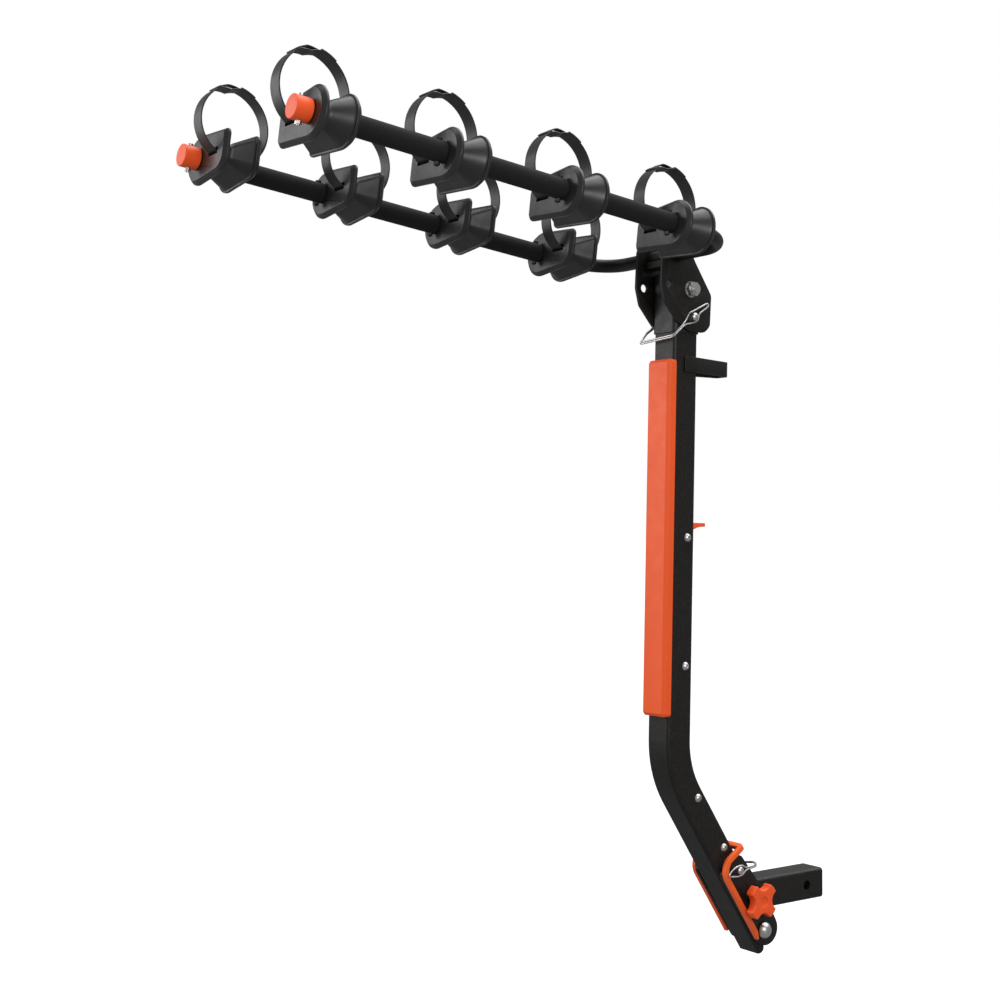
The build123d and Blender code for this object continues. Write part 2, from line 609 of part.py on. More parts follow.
def build_pins_and_knob():
    save("tilt_lock_pin", lock_pin(LOWER, *TILT_PIN, 48))
    save("tilt_lock_wire", tilt_lock_wire())
    save("fold_lock_pin", lock_pin(UPPER, 0, -FOLD_PIN_DROP, 50))
    save("fold_lock_wire", fold_lock_wire())
    save("clamp_knob", clamp_knob())
    save("knob_stud", rod(LOWER, *KNOB_AT, STUD_D / 2, HALF + 0.3, PLATE_OUT + 21 - GAP))


def build_mast():
    save("mast_tube", mast_tube())
    save("head_sleeve", head_sleeve())
    save("bumper_pad", bumper_pad())
    save("tie_down_loop", tie_down_loop())
    for node, frame in (("tilt_pivot_bush", LOWER), ("fold_pivot_bush", UPPER)):
        save(node, ring(frame, 0, 0, PIVOT_D / 2 + FIT, BUSH_D / 2, -HALF, HALF))
    save("linkage_screws", *(linkage_screw(*place) for place in screw_places()))
    save("linkage_nuts", *(nut(frame, SCREW_BACK, v, 13, SCREW_D / 2 + 0.02, -HALF, -HALF - 6.5)
                           for frame, v in screw_places()))
    guides = [ring(frame, SCREW_BACK, v, SCREW_D / 2 + 0.02, 8.4, -6, 6) for frame, v in screw_places()[1:3]]
    save("cable_guides", *guides)
    springs = [ring(frame, SCREW_BACK, v, SCREW_D / 2 + 1, 6.5, -12, -4)
               for frame, v in (screw_places()[0], screw_places()[3])]
    save("trigger_spring", springs[0])
    save("latch_spring", springs[1])
    save("release_cable", release_cable())
    save("trigger_lever", trigger_lever())
    save("latch_pawl", latch_pawl())


def build_arms():
    save("head_plate_left", head_plate(-1))
    save("head_plate_right", head_plate(1))
    save("head_web", head_web())
    save("arm_u_tube", arm_u_tube())
    washer = 2.0
    save("fold_pivot_washers", *(ring(UPPER, 0, 0, PIVOT_D / 2 + GAP, FOLD_WASHER_R, s * HEAD_OUT, s * (HEAD_OUT + washer))
                                 for s in (-1, 1)))
    save("fold_pivot_bolt", pivot_bolt(UPPER, HEAD_OUT + washer, 12, 14, -1))
    seat = HEAD_OUT + washer
    lock_nut = nut(UPPER, 0, 0, 22, PIVOT_D / 2 + 0.02, seat, seat + 8)
    save("fold_pivot_nut", lock_nut + ring(UPPER, 0, 0, PIVOT_D / 2 + 0.02, 10, seat + 8, seat + 11))
    save("arm_bolts", *(arm_bolt(side, k) for side in (-1, 1) for k in range(CRADLES)))
    save("arm_nuts", *(arm_nut(side, k) for side in (-1, 1) for k in range(CRADLES)))
    for name, side in (("left", -1), ("right", 1)):
        save("end_cap_" + name, end_cap(side))
        save("arm_sleeves_" + name, *(arm_sleeve(side, k) for k in range(CRADLES - 1)))
        for k in range(CRADLES):
            save("cradle_{}_{}".format(name, k + 1), cradle(side, k))
            save("strap_{}_{}".format(name, k + 1), strap(side, k))


os.makedirs("parts", exist_ok=True)
build_base()
build_pins_and_knob()
build_mast()
build_arms()
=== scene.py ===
import json
import math
import bmesh
import bpy
from mathutils import Matrix, Vector

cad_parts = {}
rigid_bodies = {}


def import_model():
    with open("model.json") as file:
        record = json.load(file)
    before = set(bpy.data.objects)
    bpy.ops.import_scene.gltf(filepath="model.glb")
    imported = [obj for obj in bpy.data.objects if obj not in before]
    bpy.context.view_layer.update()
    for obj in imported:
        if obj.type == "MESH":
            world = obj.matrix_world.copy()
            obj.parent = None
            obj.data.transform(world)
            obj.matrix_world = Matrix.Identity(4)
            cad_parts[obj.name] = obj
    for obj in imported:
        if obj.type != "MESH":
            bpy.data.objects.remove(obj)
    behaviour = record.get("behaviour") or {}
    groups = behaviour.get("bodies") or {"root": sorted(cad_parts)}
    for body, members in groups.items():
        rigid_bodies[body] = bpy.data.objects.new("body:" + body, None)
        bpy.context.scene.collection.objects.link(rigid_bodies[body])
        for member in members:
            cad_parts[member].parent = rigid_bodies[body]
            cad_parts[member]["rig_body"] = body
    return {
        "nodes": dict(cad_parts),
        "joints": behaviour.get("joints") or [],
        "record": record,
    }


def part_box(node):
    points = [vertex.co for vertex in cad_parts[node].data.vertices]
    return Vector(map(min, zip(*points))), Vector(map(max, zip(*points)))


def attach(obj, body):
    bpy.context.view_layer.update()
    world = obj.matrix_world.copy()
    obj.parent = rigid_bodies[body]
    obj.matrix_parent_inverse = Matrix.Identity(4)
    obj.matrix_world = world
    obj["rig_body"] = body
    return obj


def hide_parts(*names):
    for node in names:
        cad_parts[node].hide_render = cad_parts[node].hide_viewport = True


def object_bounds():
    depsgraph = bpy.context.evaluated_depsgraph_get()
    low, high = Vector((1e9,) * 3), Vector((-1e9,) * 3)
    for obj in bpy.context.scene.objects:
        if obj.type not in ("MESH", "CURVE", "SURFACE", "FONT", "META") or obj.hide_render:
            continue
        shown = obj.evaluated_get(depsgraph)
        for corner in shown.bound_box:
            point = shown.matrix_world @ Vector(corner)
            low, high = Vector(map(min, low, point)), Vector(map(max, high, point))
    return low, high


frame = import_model()
cad_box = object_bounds()

# Sizes in metres. Places come from the frame's joints and boxes.
MM = 0.001
JOINTS = {joint["name"]: joint for joint in frame["joints"]}
RIGHT = Vector((1, 0, 0))

ARM_HOLE = 11.4 * MM
CRADLE_HALF = 29.7 * MM
BORE_AIM = 6 * MM            # inward of the arm's axis, where the first points of bore and flange line up
CRADLE_ANGLE = 50.0          # degrees; sharper folds of a cradle stay sharp
# circles (x, y, r) in mm round a flange, and round the bottom of the valley between the flanges
FLANGE = ((0, 0, 37), (-61, 5, 25), (-76, -22.5, 10))
WAIST = ((0, 0, 18.5), (-58, 3, 9), (-62, -8, 6))
# in mm: height from the cradle's end face, and how far the outline lies inside the flange's
RIM = ((0.0, 6.0), (0.4, 5.3), (4.8, 0.7), (5.4, 0.2), (6.0, 0.0), (8.4, 0.0), (9.0, 0.4), (9.4, 1.2),
       (9.6, 2.4), (9.9, 3.2))
# height in mm, and how far the outline has gone from the rim's last one to the waist
NECK = ((10.4, 0.3), (11.4, 0.66), (13.0, 0.9), (15.0, 0.99), (20.0, 1.0))
CONE = (0.1, 0.3, 0.5, 0.75, 0.93)       # shares of the way from the waist to the rear flange
STRAP_SLOT = (26, 4, 200)                # mm, cut through the cradle
STRAP_MOUTH = (29, 10, 18)               # mm, the wider mouth of the slot in the front flange

STRAP_LEVEL = 2.0            # mm, as all the strap's sizes
STRAP_INWARD = 50.0
STRAP_HALF = 12.5
STRAP_THICK = 2.0
STRAP_EDGE = 0.35            # share of the thickness that rounds a long edge
STRAP_FRONT = (26.5, 33)     # points the loop passes through: forward and up from the cradle's front
STRAP_TOP = (-11, 98.5)
STRAP_BACK = (-73.5, 58)
STRAP_MIDDLE = Vector((-23, 48))
STRAP_STEPS = 60             # steps of each of the strap's two arcs
STRAP_ANGLE = 34.0           # degrees; sharper folds of a strap stay sharp
STRAP_GAP = 0.05             # between the band and the end that lies on it
STRAP_INSET = 0.3            # how much narrower the lying end is, on each side
KEEPER_STEPS = 7             # the strap's open peak reaches this many steps each way
KEEPER_LEAD = 4              # steps of full width before the peak
KEEPER_HALF = 5.5
KEEPER_PEAK = 1.2
KEEPER_DIP = 5.4
TAIL_STEPS = 17

LOWER_LEAN = -33.3           # degrees the mast's lower length leans away from the vehicle
UPPER_LEAN = 1.4
WIRE_R = 1.5 * MM
COIL_STEPS = 16              # steps in one turn of a spring
BRIGHT_REACH = 0.06          # arm bolts this close to the rack's free end are bright
MERGE_GAP = 1e-6
FLAT_ANGLE = 0.6             # degrees; flatter edges are dissolved before the rounding
SHARP_ANGLE = 28.0           # degrees; sharper edges are rounded
NODE_ANGLE = 30.0            # degrees; sharper edges of a CAD node stay sharp
FLOOR_DROP = 0.36            # floor below the rack's lowest point, as under a car's hitch
FLOOR_HALF = 300.0


# ---------------------------------------------------------------- materials
class Shader:
    """A Principled material with a few procedural helpers."""

    def __init__(self, name, roughness, metallic=0.0):
        self.material = bpy.data.materials.new(name)
        self.material.use_nodes = True
        self.tree = self.material.node_tree
        self.bsdf = self.tree.nodes["Principled BSDF"]
        self.bsdf.inputs["Metallic"].default_value = metallic
        self.bsdf.inputs["Roughness"].default_value = roughness
        self.place = self.node("ShaderNodeTexCoord").outputs["Object"]

    def node(self, kind, **settings):
        made = self.tree.nodes.new(kind)
        for key, value in settings.items():
            setattr(made, key, value)
        return made

    def link(self, a, b):
        self.tree.links.new(a, b)

    def noise(self, scale, detail=4.0, stretch=None):
        source = self.place
        if stretch:
            mapping = self.node("ShaderNodeMapping")
            mapping.inputs["Scale"].default_value = stretch
            self.link(source, mapping.inputs["Vector"])
            source = mapping.outputs["Vector"]
        noise = self.node("ShaderNodeTexNoise")
        noise.inputs["Scale"].default_value = scale
        noise.inputs["Detail"].default_value = detail
        self.link(source, noise.inputs["Vector"])
        return noise.outputs["Fac"]

    def band(self, value, low, high, to_low, to_high):
        """Rescale a value from one range to another, clamped."""
        node = self.node("ShaderNodeMapRange")
        for key, number in (("From Min", low), ("From Max", high), ("To Min", to_low), ("To Max", to_high)):
            node.inputs[key].default_value = number
        self.link(value, node.inputs["Value"])
        return node.outputs["Result"]

    def mix(self, factor, a, b):
        """Mix two colours; each is a tuple or a socket."""
        node = self.node("ShaderNodeMix", data_type="RGBA")
        self.link(factor, node.inputs["Factor"])
        for socket, colour in ((node.inputs[6], a), (node.inputs[7], b)):
            if isinstance(colour, tuple):
                socket.default_value = (*colour, 1.0)
            else:
                self.link(colour, socket)
        return node.outputs[2]

    def bump(self, height, strength, distance, edge_radius=0.0):
        node = self.node("ShaderNodeBump")
        node.inputs["Strength"].default_value = strength
        node.inputs["Distance"].default_value = distance
        self.link(height, node.inputs["Height"])
        if edge_radius:
            edge = self.node("ShaderNodeBevel")
            edge.inputs["Radius"].default_value = edge_radius
            self.link(edge.outputs["Normal"], node.inputs["Normal"])
        self.link(node.outputs["Normal"], self.bsdf.inputs["Normal"])

    def edge_mask(self, radius, low, high):
        """1 along convex and concave edges, 0 on flats."""
        edge = self.node("ShaderNodeBevel")
        edge.inputs["Radius"].default_value = radius
        flat = self.node("ShaderNodeNewGeometry")
        dot = self.node("ShaderNodeVectorMath", operation="DOT_PRODUCT")
        self.link(edge.outputs["Normal"], dot.inputs[0])
        self.link(flat.outputs["Normal"], dot.inputs[1])
        return self.band(dot.outputs["Value"], low, high, 1.0, 0.0)

    def colour(self, socket):
        self.link(socket, self.bsdf.inputs["Base Color"])

    def rough(self, socket):
        self.link(socket, self.bsdf.inputs["Roughness"])


def coated_steel(name, colour, edge_colour, roughness):
    """Powder coat: fine orange peel, slight tone changes, and thin lighter edges that are partly rubbed wear
    and partly a painted highlight.
    """
    s = Shader(name, roughness)
    cloud = s.band(s.noise(9.0, 3.0), 0.35, 0.65, 0.0, 1.0)
    tone = s.mix(cloud, colour, tuple(min(1.0, c * 1.16) for c in colour))
    speck = s.band(s.noise(420.0, 2.0), 0.5, 0.72, 0.0, 0.35)
    tone = s.mix(speck, tone, edge_colour)
    # the edges are lightened towards edge_colour by an edge mask times patchy noise: partly rubbed wear,
    # partly a painted highlight along the edges
    edge_wear_and_highlight = s.node("ShaderNodeMath", operation="MULTIPLY")
    s.link(s.edge_mask(0.0009, 0.86, 0.97), edge_wear_and_highlight.inputs[0])
    s.link(s.band(s.noise(60.0, 5.0), 0.42, 0.62, 0.15, 0.8), edge_wear_and_highlight.inputs[1])
    s.colour(s.mix(edge_wear_and_highlight.outputs[0], tone, edge_colour))
    s.bsdf.inputs["Specular IOR Level"].default_value = 0.29
    s.rough(s.band(s.noise(35.0, 4.0), 0.3, 0.7, roughness - 0.05, roughness + 0.07))
    s.bump(s.noise(900.0, 3.0), 0.16, 0.0004, 0.0006)
    return s.material


def zinc_plate(name, colour, roughness):
    """Zinc plated steel: bright, a little cloudy, with fine turning marks."""
    s = Shader(name, roughness, 1.0)
    cloud = s.band(s.noise(120.0, 5.0), 0.3, 0.7, 0.0, 1.0)
    s.colour(s.mix(cloud, tuple(c * 0.78 for c in colour), colour))
    s.rough(s.band(s.noise(260.0, 4.0), 0.3, 0.7, roughness - 0.06, roughness + 0.1))
    s.bump(s.noise(500.0, 3.0, (1.0, 6.0, 1.0)), 0.04, 0.0003)
    return s.material


def moulded(name, colour, roughness, grain=700.0, grain_strength=0.2, variation=1.18, edge=0.0006):
    """Moulded plastic or rubber: fine spark-eroded grain and soft tone changes."""
    s = Shader(name, roughness)
    cloud = s.band(s.noise(14.0, 4.0), 0.35, 0.65, 0.0, 1.0)
    s.colour(s.mix(cloud, colour, tuple(min(1.0, c * variation) for c in colour)))
    s.rough(s.band(s.noise(50.0, 4.0), 0.3, 0.7, roughness - 0.06, roughness + 0.08))
    s.bump(s.noise(grain, 4.0), grain_strength, 0.0004, edge)
    s.bsdf.inputs["Specular IOR Level"].default_value = 0.38
    return s.material


def foam_sleeve(name, colour):
    """Closed-cell foam sleeve: matte, with small cells."""
    s = Shader(name, 0.82)
    s.bsdf.inputs["Specular IOR Level"].default_value = 0.3
    cells = s.node("ShaderNodeTexVoronoi")
    cells.inputs["Scale"].default_value = 650.0
    s.link(s.place, cells.inputs["Vector"])
    pale = tuple(c * 1.6 for c in colour)
    s.colour(s.mix(s.band(cells.outputs["Distance"], 0.1, 0.6, 0.0, 1.0), colour, pale))
    s.bump(cells.outputs["Distance"], 0.35, 0.0005)
    return s.material


def bronze_bush(name):
    s = Shader(name, 0.42, 1.0)
    s.colour(s.mix(s.band(s.noise(300.0, 4.0), 0.3, 0.7, 0.0, 1.0), (0.32, 0.2, 0.09), (0.5, 0.34, 0.17)))
    s.bump(s.noise(900.0, 2.0), 0.2, 0.0003)
    return s.material


def floor_paint():
    s = Shader("floor_paint", 0.8)
    s.colour(s.mix(s.band(s.noise(1.5, 3.0), 0.3, 0.7, 0.0, 1.0), (0.96, 0.96, 0.96), (0.98, 0.98, 0.98)))
    s.bsdf.inputs["Specular IOR Level"].default_value = 0.1
    return s.material


# the second colour of each coated steel is used for its specks and its lighter edges; on the edges it is
# partly rubbed wear and partly a painted highlight
MATERIALS = {
    "steel_black": coated_steel("steel_black", (0.0085, 0.0072, 0.0062), (0.05, 0.047, 0.044), 0.44),
    "steel_orange": coated_steel("steel_orange", (0.9, 0.115, 0.018), (0.95, 0.2, 0.06), 0.42),
    "zinc": zinc_plate("zinc", (0.68, 0.67, 0.66), 0.36),
    "plastic_black": moulded("plastic_black", (0.013, 0.0125, 0.0125), 0.46),
    "plastic_orange": moulded("plastic_orange", (0.95, 0.1, 0.016), 0.42, variation=1.06),
    "rubber_dark": moulded("rubber_dark", (0.022, 0.0212, 0.021), 0.36, 520.0, 0.14),
    "strap_dark": moulded("strap_dark", (0.024, 0.023, 0.022), 0.42, 800.0, 0.04, edge=0.0),
    "foam_orange": moulded("foam_orange", (0.97, 0.11, 0.015), 0.48, 450.0, 0.1, 1.04),
    "sleeve_black": foam_sleeve("sleeve_black", (0.006, 0.006, 0.0062)),
    "bronze": bronze_bush("bronze"),
}
SLOT_OF = {part["node"]: part["material_slot"] for part in frame["record"]["subparts"]}


def paint(obj, slot):
    obj.data.materials.clear()
    obj.data.materials.append(MATERIALS[slot])


# ---------------------------------------------------------------- mesh helpers
def finish_mesh(obj, angle=32.0):
    for face in obj.data.polygons:
        face.use_smooth = True
    obj.data.set_sharp_from_angle(angle=math.radians(angle))


def add_object(name, mesh):
    obj = bpy.data.objects.new(name, mesh)
    bpy.context.scene.collection.objects.link(obj)
    return obj


def stand_in(obj, node, body):
    """The piece replaces a node, takes its slot's material and moves with its body."""
    paint(obj, SLOT_OF[node])
    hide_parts(node)
    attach(obj, body)


def apply_modifiers(obj):
    bpy.context.view_layer.update()
    graph = bpy.context.evaluated_depsgraph_get()
    mesh = bpy.data.meshes.new_from_object(obj.evaluated_get(graph))
    old = obj.data
    obj.modifiers.clear()
    obj.data = mesh
    bpy.data.meshes.remove(old)


def softened(node, width, segments=3):
    """A copy of a node with its edges rounded."""
    body = frame["nodes"][node]["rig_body"]
    bm = bmesh.new()
    bm.from_mesh(frame["nodes"][node].data)
    bmesh.ops.remove_doubles(bm, verts=bm.verts, dist=MERGE_GAP)
    bmesh.ops.dissolve_limit(bm, angle_limit=math.radians(FLAT_ANGLE), verts=bm.verts, edges=bm.edges)
    limit = math.radians(SHARP_ANGLE)
    sharp = [e for e in bm.edges if len(e.link_faces) == 2 and e.calc_face_angle(0.0) > limit]
    bmesh.ops.bevel(bm, geom=sharp, offset=width, segments=segments, profile=0.5, affect="EDGES",
                    clamp_overlap=True)
    mesh = bpy.data.meshes.new(node + "_soft")
    bm.to_mesh(mesh)
    bm.free()
    obj = add_object(node + "_soft", mesh)
    finish_mesh(obj)
    stand_in(obj, node, body)
    return obj


# ---------------------------------------------------------------- cradles
def outline(circles, inset=0.0, arc_steps=24, line_steps=5):
    """Points round a belt over three circles, always the same count in the same order."""
    turns = []
    for k, (x, y, r) in enumerate(circles):
        x2, y2, r2 = circles[(k + 1) % 3]
        turns.append(math.atan2(y2 - y, x2 - x) - math.acos((r - r2) / math.hypot(x2 - x, y2 - y)))
    points = []
    arcs = []
    for k, (x, y, r) in enumerate(circles):
        start, end = turns[k - 1], turns[k]
        while end < start:
            end += 2 * math.pi
        angles = [start + (end - start) * i / arc_steps for i in range(arc_steps + 1)]
        arcs.append([Vector((x + (r - inset) * math.cos(a), y + (r - inset) * math.sin(a))) for a in angles])
    for k, arc in enumerate(arcs):
        points += arc
        nxt = arcs[(k + 1) % 3][0]
        points += [arc[-1].lerp(nxt, i / line_steps) for i in range(1, line_steps)]
    return points


def between(a, b, t):
    return [p.lerp(q, t) for p, q in zip(a, b)]


def cradle_sections():
    """(height in mm from the front face, outline) along a cradle: bevelled flanges, a neck
    close behind the front one and a long cone to the rear one."""
    waist = outline(WAIST)
    length = 2 * CRADLE_HALF / MM
    rim = [(height, outline(FLANGE, inset)) for height, inset in RIM]
    rim_end, lip = rim[-1]
    neck = [(height, between(lip, waist, share)) for height, share in NECK]
    cone_start = neck[-1][0]
    cone_length = length - rim_end - cone_start
    cone = [(cone_start + cone_length * share, between(waist, lip, share)) for share in CONE]
    return rim + neck + cone + [(length - z, ring) for z, ring in reversed(rim)]


def cradle_frame(joint, side):
    """Matrix of a cradle: x away from the middle plane, z towards the arm's free end."""
    forward = Vector(joint["axis"]).normalized()
    x = RIGHT * side
    y = forward.cross(x)
    matrix = Matrix((x, y, forward)).transposed().to_4x4()
    matrix.translation = Vector(joint["pos_m"])
    return matrix


def cradle_mesh(side):
    bm = bmesh.new()
    rings = []
    for z, points in cradle_sections():
        rings.append([bm.verts.new((p.x * MM, p.y * MM, CRADLE_HALF - z * MM)) for p in points])
    count = len(rings[0])
    for a, b in zip(rings, rings[1:]):
        for i in range(count):
            bm.faces.new((a[i], a[(i + 1) % count], b[(i + 1) % count], b[i]))
    bore = []
    for ring in (rings[0], rings[-1]):
        first = ring[0].co
        start = math.atan2(first.y, first.x + BORE_AIM)
        angles = [2 * math.pi * i / count + start for i in range(count)]
        bore.append([bm.verts.new((ARM_HOLE * math.cos(a), ARM_HOLE * math.sin(a), first.z)) for a in angles])
    for i in range(count):
        j = (i + 1) % count
        bm.faces.new((rings[0][j], rings[0][i], bore[0][i], bore[0][j]))
        bm.faces.new((rings[-1][i], rings[-1][j], bore[1][j], bore[1][i]))
        bm.faces.new((bore[0][j], bore[0][i], bore[1][i], bore[1][j]))
    bmesh.ops.recalc_face_normals(bm, faces=bm.faces)
    mesh = bpy.data.meshes.new("cradle_pad")
    bm.to_mesh(mesh)
    bm.free()
    return mesh


def box_object(name, size, centre):
    bm = bmesh.new()
    bmesh.ops.create_cube(bm, size=1.0)
    bmesh.ops.scale(bm, vec=size, verts=bm.verts)
    bmesh.ops.translate(bm, vec=centre, verts=bm.verts)
    mesh = bpy.data.meshes.new(name)
    bm.to_mesh(mesh)
    bm.free()
    return add_object(name, mesh)


def cut(obj, tool):
    modifier = obj.modifiers.new("cut", "BOOLEAN")
    modifier.operation = "DIFFERENCE"
    modifier.solver = "EXACT"
    modifier.object = tool
    apply_modifiers(obj)
    bpy.data.objects.remove(tool)


def make_cradle(name, side):
    obj = add_object(name + "_pad", cradle_mesh(side))
    across, up = -STRAP_INWARD * MM, -STRAP_LEVEL * MM
    for tool, size, forward in (("slot_tool", STRAP_SLOT, 0.0), ("mouth_tool", STRAP_MOUTH, CRADLE_HALF)):
        cut(obj, box_object(tool, [length * MM for length in size], (across, up, forward)))
    finish_mesh(obj, CRADLE_ANGLE)
    weighted = obj.modifiers.new("weighted", "WEIGHTED_NORMAL")
    weighted.weight = 50
    weighted.keep_sharp = True
    apply_modifiers(obj)
    obj.matrix_world = cradle_frame(JOINTS[name + "_swivel"], side)
    stand_in(obj, name, name)


# ---------------------------------------------------------------- straps
def arc_through(a, b, c, steps):
    """Points on the circle through three points, from a by way of b to c."""
    ax, ay, bx, by, cx, cy = *a, *b, *c
    d = 2 * (ax * (by - cy) + bx * (cy - ay) + cx * (ay - by))
    aa, bb, cc = ax * ax + ay * ay, bx * bx + by * by, cx * cx + cy * cy
    ux = (aa * (by - cy) + bb * (cy - ay) + cc * (ay - by)) / d
    uy = (aa * (cx - bx) + bb * (ax - cx) + cc * (bx - ax)) / d
    radius = math.hypot(ax - ux, ay - uy)
    start = math.atan2(ay - uy, ax - ux)
    end = math.atan2(cy - uy, cx - ux)
    while end < start:
        end += 2 * math.pi
    return [Vector((ux + radius * math.cos(start + (end - start) * i / steps),
                    uy + radius * math.sin(start + (end - start) * i / steps))) for i in range(steps + 1)]


def strap_line(level):
    """The band's middle line in the arm's side view, in mm: forward and up from the cradle's front."""
    front = arc_through((1, level), STRAP_FRONT, STRAP_TOP, STRAP_STEPS)
    back = arc_through(STRAP_TOP, STRAP_BACK, (-2 * CRADLE_HALF / MM - 1, level), STRAP_STEPS)
    return front + back[1:]


def peak(i, top, width):
    """1 at the strap's top, 0 from width steps away."""
    return max(0.0, 1.0 - abs(i - top) / width)


def pushed(line, i, distance):
    """A point of the line moved outwards from the loop's middle."""
    return line[i] + (line[i] - STRAP_MIDDLE).normalized() * distance


def band_mesh(bm, line, half_width, thick, closed=False):
    """A flat band with rounded long edges along a line in the side view."""
    edge = thick * STRAP_EDGE
    half, low, high = half_width, -thick / 2, thick / 2
    section = [(-half, low + edge), (-half + edge, low), (half - edge, low), (half, low + edge),
               (half, high - edge), (half - edge, high), (-half + edge, high), (-half, high - edge)]
    rings = []
    for i, p in enumerate(line):
        if closed:
            ahead = line[(i + 1) % len(line)] - line[i - 1]
        else:
            ahead = line[min(i + 1, len(line) - 1)] - line[max(i - 1, 0)]
        out = Vector((ahead.y, -ahead.x)).normalized()
        rings.append([bm.verts.new((x * MM, (p.x + out.x * t) * MM, (p.y + out.y * t) * MM))
                      for x, t in section])
    n = len(section)
    pairs = list(zip(rings, rings[1:]))
    if closed:
        pairs.append((rings[-1], rings[0]))
    for a, b in pairs:
        for i in range(n):
            bm.faces.new((a[i], a[(i + 1) % n], b[(i + 1) % n], b[i]))
    if not closed:
        bm.faces.new(list(reversed(rings[0])))
        bm.faces.new(rings[-1])


def make_strap(name, side):
    line = strap_line(-STRAP_LEVEL * side)
    top = STRAP_STEPS
    bm = bmesh.new()
    band = [pushed(line, i, -KEEPER_DIP * peak(i, top, KEEPER_STEPS)) for i in range(len(line))]
    band_mesh(bm, band, STRAP_HALF, STRAP_THICK, closed=True)
    # the strap's end lies on the band, narrowed and raised to a peak over the dip
    keeper_start, keeper_end = top - KEEPER_STEPS, top + KEEPER_STEPS
    stops = (keeper_start - KEEPER_LEAD, keeper_start, keeper_end, top + TAIL_STEPS)
    for first, last, half_width in zip(stops, stops[1:], (STRAP_HALF, KEEPER_HALF, STRAP_HALF)):
        lying = [pushed(line, i, STRAP_THICK + STRAP_GAP + KEEPER_PEAK * peak(i, top, KEEPER_STEPS))
                 for i in range(first, last + 1)]
        band_mesh(bm, lying, half_width - STRAP_INSET, STRAP_THICK)
    bmesh.ops.recalc_face_normals(bm, faces=bm.faces)
    mesh = bpy.data.meshes.new(name + "_band")
    bm.to_mesh(mesh)
    bm.free()
    obj = add_object(name + "_band", mesh)
    finish_mesh(obj, STRAP_ANGLE)
    joint = JOINTS[name.replace("strap", "cradle") + "_swivel"]
    forward = Vector(joint["axis"]).normalized()
    up = RIGHT.cross(forward) * -1
    if up.z < 0:
        up = -up
    matrix = Matrix((RIGHT, forward, up)).transposed().to_4x4()
    matrix.translation = Vector(joint["pos_m"]) + forward * CRADLE_HALF - RIGHT * side * STRAP_INWARD * MM
    obj.matrix_world = matrix
    stand_in(obj, name, name.replace("strap", "cradle"))


# ---------------------------------------------------------------- springs inside the mast
def make_spring(node, body, turns=4, wire=0.75 * MM):
    """A torsion spring's coil round its screw."""
    low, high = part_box(node)
    centre = (low + high) / 2
    radius = (high.z - low.z) / 2 - wire
    curve = bpy.data.curves.new(node + "_coil", "CURVE")
    curve.dimensions = "3D"
    curve.bevel_depth = wire
    curve.bevel_resolution = 3
    steps = turns * COIL_STEPS
    spline = curve.splines.new("POLY")
    spline.points.add(steps)
    for i in range(steps + 1):
        a = 2 * math.pi * i / COIL_STEPS
        x = low.x + wire + (high.x - low.x - 2 * wire) * i / steps
        spline.points[i].co = (x, centre.y + radius * math.cos(a), centre.z + radius * math.sin(a), 1)
    obj = bpy.data.objects.new(node + "_coil", curve)
    bpy.context.scene.collection.objects.link(obj)
    stand_in(obj, node, body)


# ---------------------------------------------------------------- lock pin wires
def side_point(joint, lean, u, v, x):
    """A point in the side view of a pivot: u rearward and v up a length that leans back."""
    pivot = Vector(JOINTS[joint]["pos_m"])
    a = math.radians(lean)
    return Vector((x * MM, pivot.y + (u * math.cos(a) + v * math.sin(a)) * MM,
                   pivot.z + (v * math.cos(a) - u * math.sin(a)) * MM))


def rounded_path(points, radius, steps=6):
    """The polyline with each corner replaced by a short curve."""
    made = [points[0]]
    for before, corner, after in zip(points, points[1:], points[2:]):
        back, ahead = before - corner, after - corner
        start = corner + back.normalized() * min(radius, 0.48 * back.length)
        end = corner + ahead.normalized() * min(radius, 0.48 * ahead.length)
        for i in range(steps + 1):
            t = i / steps
            made.append(start * (1 - t) ** 2 + corner * 2 * t * (1 - t) + end * t * t)
    return made + [points[-1]]


def make_wire(node, body, joint, lean, strands, radius=6 * MM):
    """One wire bent double: out along one strand, round the bow, and back along the other."""
    out, home = strands
    run = [side_point(joint, lean, *p) for p in out + tuple(reversed(home))]
    points = rounded_path(run, radius)
    curve = bpy.data.curves.new(node + "_strands", "CURVE")
    curve.dimensions = "3D"
    curve.bevel_depth = WIRE_R
    curve.bevel_resolution = 3
    curve.use_fill_caps = True
    spline = curve.splines.new("POLY")
    spline.points.add(len(points) - 1)
    for point, place in zip(spline.points, points):
        point.co = (*place, 1)
    obj = bpy.data.objects.new(node + "_strands", curve)
    bpy.context.scene.collection.objects.link(obj)
    stand_in(obj, node, body)


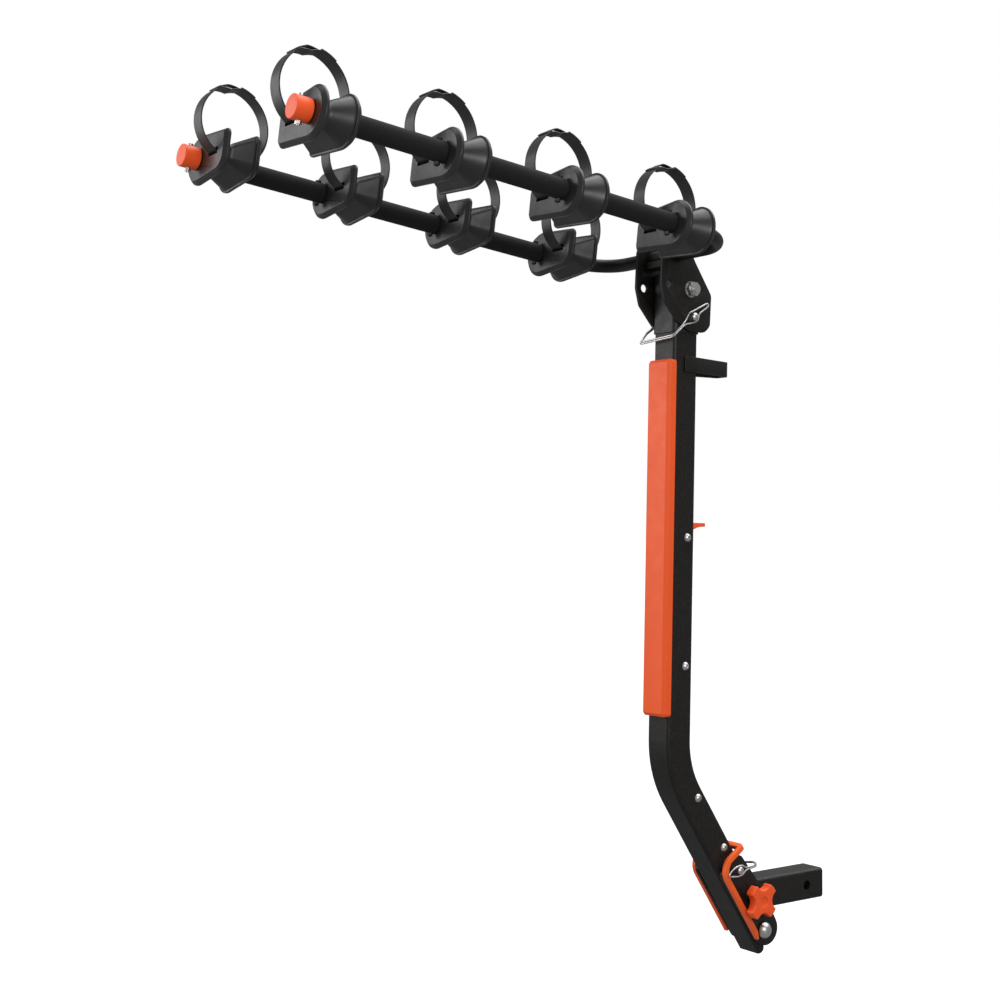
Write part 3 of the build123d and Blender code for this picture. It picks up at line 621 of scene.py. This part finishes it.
# u, v, x in mm along each strand, from the pin's head to the bow's closed end
FOLD_WIRE = (
    ((0, -44, -52.5), (0, -54, -52.5), (-19, -66, -51), (-35, -84.5, -50), (-33, -79.5, 30), (-19, -59.5, 42),
     (2, -54, 44), (8.5, -49, 44), (9, -40, 44), (31, -25, 44)),
    ((0, -41, -52.5), (0, -51, -52.5), (-18, -62.5, -50), (-33, -81, -48), (-31, -76, 29), (-19, -56, 42),
     (-11, -39.5, 44), (-3, -36.5, 44), (28, -20.5, 44)))
TILT_WIRE = (
    ((6, 124, -50.5), (6, 116, -50.5), (30, 96, -50), (50, 90, -34), (53, 100, 24), (38, 108, 42),
     (16, 120, 44), (6, 118, 44), (-4, 122, 44), (-18, 133, 44)),
    ((6, 127, -50.5), (6, 119, -50.5), (30, 99, -49), (48, 93, -32), (51, 103, 22), (38, 111, 42),
     (17, 123, 44), (14.5, 131, 44), (3, 137.5, 44), (-9, 139, 44), (-18, 137, 44)))


# ---------------------------------------------------------------- dress the model
for node, obj in frame["nodes"].items():
    paint(obj, SLOT_OF[node])
    for face in obj.data.polygons:
        face.use_smooth = True
    obj.data.set_sharp_from_angle(angle=math.radians(NODE_ANGLE))

for name, side in (("left", -1), ("right", 1)):
    for k in range(1, 5):
        make_cradle("cradle_{}_{}".format(name, k), side)
        make_strap("strap_{}_{}".format(name, k), side)

# the arm bolts and nuts are black, but for the bright ones through the end caps
free_end = cad_box[0][1]
for node in ("arm_bolts", "arm_nuts"):
    obj = frame["nodes"][node]
    obj.data.materials.append(MATERIALS["steel_black"])
    for face in obj.data.polygons:
        if (obj.matrix_world @ face.center).y > free_end + BRIGHT_REACH:
            face.material_index = 1

make_spring("trigger_spring", "mast")
make_spring("latch_spring", "mast")
make_wire("fold_lock_wire", "fold_pin", "arm_fold", UPPER_LEAN, FOLD_WIRE)
make_wire("tilt_lock_wire", "tilt_pin", "mast_tilt", LOWER_LEAN, TILT_WIRE)
softened("bumper_pad", 2.2 * MM, 4)
for node in ("head_plate_left", "head_plate_right", "side_plate_left", "side_plate_right"):
    softened(node, 0.7 * MM, 2)
softened("striker_bail", 1.0 * MM)
softened("tie_down_loop", 0.6 * MM, 2)
softened("clamp_knob", 1.2 * MM)
softened("trigger_lever", 0.8 * MM)


# ---------------------------------------------------------------- floor, light and camera
def add_floor():
    """A pale floor that throws no light up onto the rack."""
    bm = bmesh.new()
    bmesh.ops.create_grid(bm, x_segments=8, y_segments=8, size=FLOOR_HALF)
    mesh = bpy.data.meshes.new("floor")
    bm.to_mesh(mesh)
    bm.free()
    obj = add_object("floor", mesh)
    obj.location = (0, 0, cad_box[0][2] - FLOOR_DROP)
    obj.data.materials.append(floor_paint())
    obj.visible_diffuse = False
    obj.visible_glossy = False


def add_area(name, place, target, size, energy):
    light = bpy.data.lights.new(name, "AREA")
    light.shape = "RECTANGLE"
    light.size, light.size_y = size
    light.energy = energy
    obj = bpy.data.objects.new(name, light)
    obj.location = place
    obj.rotation_euler = (Vector(target) - Vector(place)).to_track_quat("-Z", "Y").to_euler()
    bpy.context.scene.collection.objects.link(obj)


def add_world():
    """White to the camera, dimmer as light."""
    world = bpy.data.worlds.new("studio")
    world.use_nodes = True
    tree = world.node_tree
    light = tree.nodes["Background"]
    light.inputs["Color"].default_value = (0.96, 0.98, 1, 1)
    light.inputs["Strength"].default_value = 0.3
    white = tree.nodes.new("ShaderNodeBackground")
    white.inputs["Color"].default_value = (1, 1, 1, 1)
    ray = tree.nodes.new("ShaderNodeLightPath")
    mix = tree.nodes.new("ShaderNodeMixShader")
    tree.links.new(ray.outputs["Is Camera Ray"], mix.inputs[0])
    tree.links.new(light.outputs[0], mix.inputs[1])
    tree.links.new(white.outputs[0], mix.inputs[2])
    tree.links.new(mix.outputs[0], tree.nodes["World Output"].inputs["Surface"])
    bpy.context.scene.world = world
    bpy.context.scene.view_settings.view_transform = "Standard"


def add_lights():
    """Two soft panels, in front and on the right, and a broad light from above."""
    middle = (0, -0.45, 0.6)
    add_area("front", (-2.2, -3.4, 1.7), middle, (2.6, 2.6), 78)
    add_area("right", (3.4, -1.7, 1.5), middle, (1.4, 1.4), 54)
    sky = bpy.data.lights.new("sky", "SUN")
    sky.energy = 2.9
    sky.angle = math.radians(70)
    obj = bpy.data.objects.new("sky", sky)
    obj.rotation_euler = (math.radians(-20), 0, 0)
    bpy.context.scene.collection.objects.link(obj)


CAMERA_PLACE = (1.9675, -2.0357, 0.6194)
CAMERA_TURN = 54.437         # degrees from looking along +Y
CAMERA_TILT = 0.857          # degrees upwards
LENS = 57.82                 # mm on a 36 mm sensor


def add_camera():
    camera = bpy.data.cameras.new("camera")
    camera.lens = LENS
    camera.sensor_width = 36
    camera.clip_end = 100
    obj = bpy.data.objects.new("camera", camera)
    obj.location = CAMERA_PLACE
    obj.rotation_euler = (math.radians(90 + CAMERA_TILT), 0, math.radians(CAMERA_TURN))
    bpy.context.scene.collection.objects.link(obj)
    bpy.context.scene.camera = obj


add_world()
add_floor()
add_lights()
add_camera()
